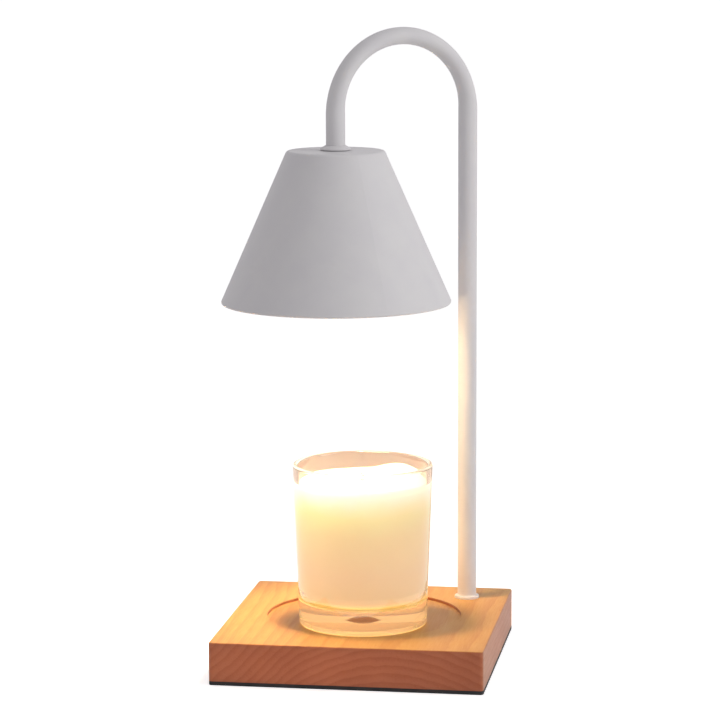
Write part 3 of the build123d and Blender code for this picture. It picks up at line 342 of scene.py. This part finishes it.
# ---- Tumbler's glass ----
GLASS_TINT = (0.975, 0.945, 0.90)
GLASS_IOR = 1.5
GLASS_RIPPLE = {"size": 18 * MM, "detail": 1.0}
GLASS_DEPTH = 0.02 * MM
# Painted glow: the whole glass gives off a faint warm light of its own
GLASS_GLOW_COLOUR = (1.0, 0.66, 0.34)
GLASS_GLOW = 0.05
RIM_HIGHLIGHT_COLOUR = (1.0, 0.60, 0.10)  # painted highlight: the lamp's light, gathered along the foot and the inner corner, painted on as glow
RIM_HIGHLIGHT_GLOW = 0.33
# Radii and heights over the foot between which that painted highlight fades in or out.
FOOT_RING = (31.0 * MM, 32.2 * MM)
FOOT_TOP = (0.6 * MM, 1.4 * MM)
CORNER_INSIDE = (24 * MM, 27 * MM)
CORNER_OUTSIDE = (32.0 * MM, 32.6 * MM)
CORNER_LOW = (11.0 * MM, 11.9 * MM)
CORNER_TOP = (14.5 * MM, 16.5 * MM)
DIMPLE_HEIGHT = 4.5 * MM  # of the dimple's middle over the foot
DIMPLE_EDGE = (6.1 * MM, 6.7 * MM)  # distances from that middle between which the painted brown shade ends
DIMPLE_PAINTED_SHADE = (0.28, 0.07, 0.03)  # painted shade: the shaded wood that would show through the dimple, painted on as an opaque brown
DIMPLE_CLEAR = 0.15  # share of light that still passes through that painted shade


def painted_rim_highlight(glass, radius, height):
    """1 along the tumbler's foot and its inner corner, where the highlight is painted, 0 elsewhere."""
    foot = glass.math("MULTIPLY", glass.spread(radius, *FOOT_RING), glass.fade(height, *FOOT_TOP))
    ring = glass.math("MULTIPLY", glass.spread(radius, *CORNER_INSIDE), glass.fade(radius, *CORNER_OUTSIDE))
    level = glass.math("MULTIPLY", glass.spread(height, *CORNER_LOW), glass.fade(height, *CORNER_TOP))
    return glass.math("MAXIMUM", foot, glass.math("MULTIPLY", ring, level))


def tumbler_glass():
    """Clear glass with a faint unevenness, a faint painted glow, a painted highlight along its foot and
    inner corner, and painted shade in its dimple.
    """
    glass = Shader("tumbler_glass")
    low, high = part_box("candle_glass")
    axis = ((low.x + high.x) / 2, (low.y + high.y) / 2)
    flat = glass.node("VectorMath", {0: glass.place, 1: (1, 1, 0)}, operation="MULTIPLY").outputs[0]
    height = glass.math("SUBTRACT", glass.axes(glass.place)[2], low.z)
    rim_highlight = painted_rim_highlight(glass, glass.distance(flat, (*axis, 0)), height)
    dimple = glass.distance(glass.place, (*axis, low.z + DIMPLE_HEIGHT))
    glass.set(
        # Painted shade: the dimple turns opaque brown where the shaded wood would show through it
        Base_Color=glass.mix(glass.spread(dimple, *DIMPLE_EDGE), DIMPLE_PAINTED_SHADE, GLASS_TINT),
        Roughness=0.0,
        IOR=GLASS_IOR,
        Transmission_Weight=glass.spread(dimple, *DIMPLE_EDGE, DIMPLE_CLEAR, 1.0),
        # Painted glow over the whole glass, and a painted highlight along its foot and inner corner
        Emission_Color=glass.mix(rim_highlight, GLASS_GLOW_COLOUR, RIM_HIGHLIGHT_COLOUR),
        Emission_Strength=glass.math("MULTIPLY_ADD", rim_highlight, RIM_HIGHLIGHT_GLOW, GLASS_GLOW),
    )
    glass.bump(glass.noise(**GLASS_RIPPLE), GLASS_DEPTH)
    return glass.material


# ---- Wax ----
WAX_TONES = (0.50, 0.42, 0.31), (0.46, 0.38, 0.27)
WAX_CLOUD = {"size": 16 * MM, "detail": 2.0}
WAX_GRAIN = {"size": 1.2 * MM}
WAX_ROUGHNESS = (0.38, 0.52)
WAX_DEPTH = 0.05 * MM
WAX_SCATTER = 0.35
WAX_SCATTER_REACH = 6 * MM
WAX_SCATTER_TINT = (1.0, 0.5, 0.25)
GLOW_DEPTH = 66 * MM  # from the wax's top to its bottom
GLOW_CLOUD = 5 * MM  # how far the glow's heights waver
GLOW_REACH = 34 * MM  # from the candle's axis to the wax's side
GLOW_RIGHT = 0.50  # share of the painted glow at the wax's right, which lies farther from the bulb: painted shade
GLOW_UNDER = (0.75, 0.38, 0.15)  # painted glow of the wax's underside, dimmer as painted shade
UNDER_TURN = (-0.9, -0.98)  # how far a face has to turn down for it
# Shares of that depth, and the painted glow that the wax gives off there in place of the lamp's light.
PAINTED_GLOW_STOPS = (
    (0.00, (1.05, 1.05, 0.98)),
    (0.08, (0.85, 0.90, 0.78)),
    (0.16, (0.78, 0.79, 0.46)),
    (0.23, (0.78, 0.71, 0.29)),
    (0.39, (0.76, 0.56, 0.26)),
    (0.70, (0.72, 0.46, 0.24)),
    (0.92, (0.73, 0.45, 0.20)),
    (0.95, (0.85, 0.42, 0.12)),
    (0.98, (1.05, 0.74, 0.22)),
)


def painted_glow_ramp(made, depth):
    """The wax's painted glow by its share of the depth."""
    ramp = made.node("ValToRGB", {0: depth})
    while len(ramp.color_ramp.elements) < len(PAINTED_GLOW_STOPS):
        ramp.color_ramp.elements.new(0.5)
    for stop, (where, colour) in zip(ramp.color_ramp.elements, PAINTED_GLOW_STOPS):
        stop.position = where
        stop.color = (*colour, 1)
    return ramp.outputs[0]


def wax():
    """Soft translucent wax with a painted glow, brightest at its lamp-lit top and fading down."""
    made = Shader("wax")
    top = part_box("candle_wax")[1].z
    x, _, z = made.axes(made.place)
    cloud = made.noise(**WAX_CLOUD)
    grain = made.noise(**WAX_GRAIN)
    wavering = made.math("SUBTRACT", cloud, 0.5)
    depth = made.math("MULTIPLY_ADD", wavering, GLOW_CLOUD, made.math("SUBTRACT", top, z))
    under = made.spread(made.axes(made.facing)[2], *UNDER_TURN)
    glow = painted_glow_ramp(made, made.math("DIVIDE", depth, GLOW_DEPTH))
    made.set(
        Base_Color=made.mix(cloud, *WAX_TONES),
        Roughness=made.spread(grain, *NOISE_SPAN, *WAX_ROUGHNESS),
        Subsurface_Weight=WAX_SCATTER,
        Subsurface_Radius=WAX_SCATTER_TINT,
        Subsurface_Scale=WAX_SCATTER_REACH,
        # Painted glow: the wax gives off the lamp's light as light of its own, dimmer at its right and its
        # underside as painted shade
        Emission_Color=made.mix(under, glow, GLOW_UNDER),
        Emission_Strength=made.spread(x, -GLOW_REACH, GLOW_REACH, 1.0, GLOW_RIGHT),
    )
    made.bump(grain, WAX_DEPTH)
    return made.material


# ---- Bulb's glass ----
LENS_TINT = (0.98, 0.95, 0.90)
LENS_COLOUR = (1.0, 0.78, 0.48)
LENS_GLOW = 12.0
LENS_CLEAR = 0.6
LENS_ROUGHNESS = 0.35
LENS_STIPPLE = {"size": 2.2 * MM, "detail": 1.0}
LENS_DEPTH = 0.3 * MM


def lamp_glass():
    """The bulb's front lens and capsule, lit from within."""
    made = Shader("lamp_glass")
    made.set(
        Base_Color=LENS_TINT,
        Roughness=LENS_ROUGHNESS,
        Transmission_Weight=LENS_CLEAR,
        Emission_Color=LENS_COLOUR,
        Emission_Strength=LENS_GLOW,
    )
    made.bump(made.noise(**LENS_STIPPLE), LENS_DEPTH)
    return made.material


# ---- CAD nodes ----
SMOOTH_ANGLE = radians(32)

materials = {
    "white_powder_coat": powder_coat(),
    "beech": beech(),
    "tumbler_glass": tumbler_glass(),
    "wax": wax(),
    "lamp_glass": lamp_glass(),
    **{name: speckled(name, *values) for name, values in PLASTICS.items()},
    **{name: speckled(name, *values, metallic=1.0) for name, values in METALS.items()},
    **{name: braid(name, *values) for name, values in BRAIDS.items()},
}


def shade_smooth(mesh):
    """Shade every face of a mesh smooth."""
    for polygon in mesh.polygons:
        polygon.use_smooth = True


def finish_nodes():
    """Give every CAD node its slot's material, and shade its curved faces smooth."""
    for part in frame["record"]["subparts"]:
        mesh = frame["nodes"][part["node"]].data
        mesh.materials.clear()
        mesh.materials.append(materials[part["material_slot"]])
        shade_smooth(mesh)
        mesh.set_sharp_from_angle(angle=SMOOTH_ANGLE)


finish_nodes()

# ---- Candle ----
TUMBLER_LEAN = 3.2 / 84.3  # how much the tumbler's radius grows with its height
WAX_TURNS = 144
WAX_CORNER = 5.0 * MM
CORNER_BENDS = [radians(degrees) for degrees in range(0, 91, 15)]
WETTING = 0.2 * MM  # the wax reaches this far past the CAD solid, so that no air shows at the glass
WAX_SIDE_ROWS = 14
WAX_TOP_ROWS = 26
MELT_DROP = 1.4 * MM  # the melted surface lies this far below the CAD solid's top
MOUND_HEIGHT = 4.8 * MM
MOUND_BEARING = radians(58)  # about the candle's axis, from +X
MOUND_REACH = 27 * MM
MOUND_SPREAD = 12 * MM
MELT_RIPPLE = 0.7 * MM
RIPPLE_SIZE = 11 * MM

wax_low, wax_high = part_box("candle_wax")
candle_axis = (wax_low + wax_high) / 2
wax_top_r = (wax_high.x - wax_low.x) / 2 + WETTING


def mesh_piece(name, points, faces, slot, body, replaced):
    """A smooth mesh in the frame's own place that stands for one CAD node."""
    mesh = bpy.data.meshes.new(name)
    mesh.from_pydata(points, [], faces)
    mesh.validate()
    mesh.update()
    shade_smooth(mesh)
    piece = bpy.data.objects.new(name, mesh)
    scene.collection.objects.link(piece)
    mesh.materials.append(materials[slot])
    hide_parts(replaced)
    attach(piece, body)


def around(radius, step, height):
    """A point on a circle about the candle's axis."""
    turn = 2 * pi * step / WAX_TURNS
    return (candle_axis.x + radius * cos(turn), candle_axis.y + radius * sin(turn), height)


def lathe_faces(rows, turns):
    """Quads between rows of points round an axis, closed by fans to the two points that follow them."""
    faces = []
    for row in range(rows - 1):
        for step in range(turns):
            after = (step + 1) % turns
            low, high = row * turns, (row + 1) * turns
            faces.append((low + step, low + after, high + after, high + step))
    first, last = rows * turns, rows * turns + 1
    for step in range(turns):
        after = (step + 1) % turns
        faces.append((first, after, step))
        faces.append((last, (rows - 1) * turns + step, (rows - 1) * turns + after))
    return faces


def wax_bore(height):
    """The wax's outer radius at a height."""
    return wax_top_r + TUMBLER_LEAN * (height - wax_high.z)


def wax_level(x, y):
    """Height of the uneven melted surface at a place in plan."""
    mound_x = candle_axis.x + MOUND_REACH * cos(MOUND_BEARING)
    mound_y = candle_axis.y + MOUND_REACH * sin(MOUND_BEARING)
    apart = (x - mound_x) ** 2 + (y - mound_y) ** 2
    mound = MOUND_HEIGHT * exp(-apart / MOUND_SPREAD**2)
    ripple = MELT_RIPPLE * noise.noise(Vector((x, y, 0)) / RIPPLE_SIZE)
    return wax_high.z - MELT_DROP + mound + ripple


def wax_corner(bottom):
    """Rows of points round the wax's rounded foot."""
    points = []
    for turn in CORNER_BENDS:
        radius = wax_bore(bottom) - WAX_CORNER * (1 - sin(turn))
        height = bottom + WAX_CORNER * (1 - cos(turn))
        points += [around(radius, step, height) for step in range(WAX_TURNS)]
    return points


def wax_side(bottom):
    """Rows of points up the wax's side, from its rounded foot to its melted top."""
    points = []
    for row in range(1, WAX_SIDE_ROWS + 1):
        share = row / WAX_SIDE_ROWS
        for step in range(WAX_TURNS):
            x, y, _ = around(wax_top_r, step, 0)
            height = bottom + WAX_CORNER + share * (wax_level(x, y) - bottom - WAX_CORNER)
            points.append(around(wax_bore(height), step, height))
    return points


def wax_top():
    """Rows of points on the melted top, from the glass inwards."""
    points = []
    for row in range(1, WAX_TOP_ROWS):
        radius = wax_top_r * (1 - row / WAX_TOP_ROWS)
        for step in range(WAX_TURNS):
            x, y, _ = around(radius, step, 0)
            points.append((x, y, wax_level(x, y)))
    return points


def make_wax():
    """The candle's wax: a rounded foot, a side against the glass and an uneven melted top."""
    bottom = wax_low.z - WETTING
    points = wax_corner(bottom) + wax_side(bottom) + wax_top()
    rows = len(points) // WAX_TURNS
    points.append((candle_axis.x, candle_axis.y, bottom))
    points.append((candle_axis.x, candle_axis.y, wax_level(candle_axis.x, candle_axis.y)))
    mesh_piece("wax", points, lathe_faces(rows, WAX_TURNS), "wax", "candle", "candle_wax")


STRANDS = 3
STRAND_SIDES = 10
STRAND_SHARE = 0.52  # a strand's radius, of the wick's
STRAND_TIP = 0.6  # its radius at each end, of its own
STRAND_GROWTH = 0.2  # and what each row after the end adds
WICK_LAY = 5.0 * MM  # length of one turn of the strands
WICK_STEP = 0.4 * MM


def strand_faces(start, rows):
    """Quads between one strand's rows of points, with a cap at each end."""
    faces = []
    for row in range(rows - 1):
        near, far = start + row * STRAND_SIDES, start + (row + 1) * STRAND_SIDES
        for side in range(STRAND_SIDES):
            after = (side + 1) % STRAND_SIDES
            faces.append((near + side, near + after, far + after, far + side))
    faces.append(tuple(start + side for side in reversed(range(STRAND_SIDES))))
    faces.append(tuple(start + (rows - 1) * STRAND_SIDES + side for side in range(STRAND_SIDES)))
    return faces


def make_wick():
    """A wick of twisted cotton strands, from its tab to above the wax."""
    low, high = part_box("candle_wick")
    wick_r = (high.x - low.x) / 2
    strand_r = wick_r * STRAND_SHARE
    lay_r = wick_r - strand_r
    rows = int((high.z - low.z) / WICK_STEP) + 1
    points, faces = [], []
    for strand in range(STRANDS):
        faces += strand_faces(len(points), rows)
        for row in range(rows):
            height = low.z + (high.z - low.z) * row / (rows - 1)
            turn = 2 * pi * (strand / STRANDS + (height - low.z) / WICK_LAY)
            from_end = min(row, rows - 1 - row)
            radius = strand_r * min(1.0, STRAND_TIP + STRAND_GROWTH * from_end)
            x, y = candle_axis.x + lay_r * cos(turn), candle_axis.y + lay_r * sin(turn)
            for side in range(STRAND_SIDES):
                bearing = 2 * pi * side / STRAND_SIDES
                points.append((x + radius * cos(bearing), y + radius * sin(bearing), height))
    mesh_piece("wick", points, faces, "wick", "candle", "candle_wick")


make_wax()
make_wick()
frame["nodes"]["candle_glass"].visible_shadow = False

# ---- Lamp's own light ----
DOWN = Vector((0, 0, -1))
BEAM_COLOUR = (1.0, 0.66, 0.36)
BEAM_SIZE = 36 * MM
BEAM_DROP = 0.5 * MM  # from the bulb's lens down to its lights
BEAM_WIDE = (0.022, radians(116))  # watts and spread of the bulb's whole light
BEAM_SPOT = (0.09, radians(62))  # and of the spot in its middle
SPOT_SHIFT = Vector((6 * MM, 0, 0))  # how far that spot lies off the bulb's axis
MOUTH_GLOW = (0.03, pi)  # and of what the shade's white inside sends out of its mouth
MOUTH_SHARE = 0.5  # size of that light, of the mouth's width
FRONT_GLOW = (0.07, radians(75))  # and of the brightest part of the shade's inside
FRONT_SIZE = 20 * MM
FRONT_SHIFT = Vector((4 * MM, -32 * MM, 0))  # how far that part lies off the axis


def add_light(name, place, aim, size, power, colour, spread=pi):
    """A round area light at a place that faces along a direction."""
    lamp = bpy.data.lights.new(name, "AREA")
    lamp.shape = "DISK"
    lamp.size = size
    lamp.energy = power
    lamp.color = colour
    lamp.spread = spread
    light = bpy.data.objects.new(name, lamp)
    scene.collection.objects.link(light)
    light.matrix_world = Matrix.Translation(place) @ aim.to_track_quat("-Z", "Y").to_matrix().to_4x4()
    return light


def make_lamp_light():
    """Four lights that face down: two at the bulb's lens and two in the shade's mouth."""
    lens_low, lens_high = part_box("bulb_lens")
    shade_low, shade_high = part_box("shade")
    lens = (lens_low + lens_high) / 2
    lens.z = lens_low.z - BEAM_DROP
    mouth = Vector((lens.x, lens.y, shade_low.z))
    mouth_size = (shade_high.x - shade_low.x) * MOUTH_SHARE
    for name, place, size, (power, spread), body in (
        ("bulb_wide", lens, BEAM_SIZE, BEAM_WIDE, "bulb"),
        ("bulb_spot", lens + SPOT_SHIFT, BEAM_SIZE, BEAM_SPOT, "bulb"),
        ("mouth_glow", mouth, mouth_size, MOUTH_GLOW, "arm"),
        ("front_glow", mouth + FRONT_SHIFT, FRONT_SIZE, FRONT_GLOW, "arm"),
    ):
        light = add_light(name, place, DOWN, size, power, BEAM_COLOUR, spread)
        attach(light, body)


make_lamp_light()

# ---- Studio ----
FLOOR_SIZE = 30.0
FLOOR_DROP = 0.1 * MM
FLOOR_TONES = (0.85, 0.85, 0.85), (0.87, 0.87, 0.87)
FLOOR_FIBRES = {"size": 1.5 * MM, "detail": 2.0}
FLOOR_ROUGHNESS = 0.9
FLOOR_SPECULAR = 0.1
FLOOR_SHOWN = 0.62  # what it gives off to the eye and to mirrors
WHITE = (1.0, 1.0, 1.0)
SKY_TINT = (0.99, 0.97, 1.0)
SKY_LIGHT = 0.48
SKY_SHINE = 0.90  # what smooth surfaces mirror of it behind the lamp, brighter than the light it gives: a painted reflection
SKY_BLEND = 0.35  # headings, of 1, between which what lies before the lamp turns to what lies behind it
GLASS_FLOOR = (0.66, 0.44, 0.33)  # painted reflection: what the tumbler's glass shows of the floor, a warm colour of its own
GLASS_ROOM = (0.93, 0.52, 0.22)  # and of the room behind the lamp, painted
GLASS_DARK = (0.34, 0.13, 0.05)  # and of the room before it, painted dark
KEY_PLACE = Vector((1.75, -0.35, 1.0))
KEY_SIZE = 1.2
KEY_POWER = 12.2
KEY_COLOUR = (1.0, 1.0, 0.99)


def floor_material():
    """Plain white paper, bright enough to the eye that only deep shadows show on it; in the tumbler's glass
    it shows a painted warm colour of its own.
    """
    paper = Shader("floor")
    ray = paper.node("LightPath").outputs
    shown = paper.math("MAXIMUM", ray["Is Camera Ray"], ray["Is Glossy Ray"])
    paper.set(
        Base_Color=paper.mix(paper.noise(**FLOOR_FIBRES), *FLOOR_TONES),
        Roughness=FLOOR_ROUGHNESS,
        Specular_IOR_Level=FLOOR_SPECULAR,
        Emission_Color=WHITE,
        Emission_Strength=paper.math("MULTIPLY", shown, FLOOR_SHOWN),
    )
    room = paper.node("Emission", {"Color": (*GLASS_FLOOR, 1)})
    inputs = {0: ray["Is Transmission Ray"], 1: paper.surface.outputs[0], 2: room.outputs[0]}
    mixer = paper.node("MixShader", inputs)
    paper.feed(paper.tree.nodes["Material Output"].inputs["Surface"], mixer.outputs[0])
    return paper.material


def grey(level):
    """The sky's own grey at a level."""
    return tuple(part * level for part in SKY_TINT)


def make_sky():
    """Even white light from all round.

    Mirrors and the tumbler's glass show a room that is darker before the lamp than behind it: painted
    reflections, with colours of their own in the glass.
    """
    scene.world = bpy.data.worlds.new("studio")
    scene.world.use_nodes = True
    sky = Tree(scene.world.node_tree)
    heading = sky.axes(sky.node("TexCoord").outputs["Generated"])[1]
    behind = sky.spread(heading, -SKY_BLEND, SKY_BLEND)
    ray = sky.node("LightPath").outputs
    shine = sky.mix(behind, grey(SKY_LIGHT), grey(SKY_SHINE))
    light = sky.mix(ray["Is Glossy Ray"], grey(SKY_LIGHT), shine)
    room = sky.mix(behind, GLASS_DARK, GLASS_ROOM)
    seen = sky.mix(ray["Is Transmission Ray"], light, room)
    sky.feed(sky.tree.nodes["Background"].inputs[0], seen)


def make_studio():
    """A pale floor, an even sky and one large soft light at the right."""
    corner = FLOOR_SIZE / 2
    mesh = bpy.data.meshes.new("floor")
    outline = [(-corner, -corner), (corner, -corner), (corner, corner), (-corner, corner)]
    mesh.from_pydata([(x, y, -FLOOR_DROP) for x, y in outline], [], [(0, 1, 2, 3)])
    mesh.materials.append(floor_material())
    floor = bpy.data.objects.new("floor", mesh)
    scene.collection.objects.link(floor)
    make_sky()
    middle = (cad_box[0] + cad_box[1]) / 2
    add_light("key", KEY_PLACE, middle - KEY_PLACE, KEY_SIZE, KEY_POWER, KEY_COLOUR)


make_studio()
scene.view_settings.view_transform = "Standard"
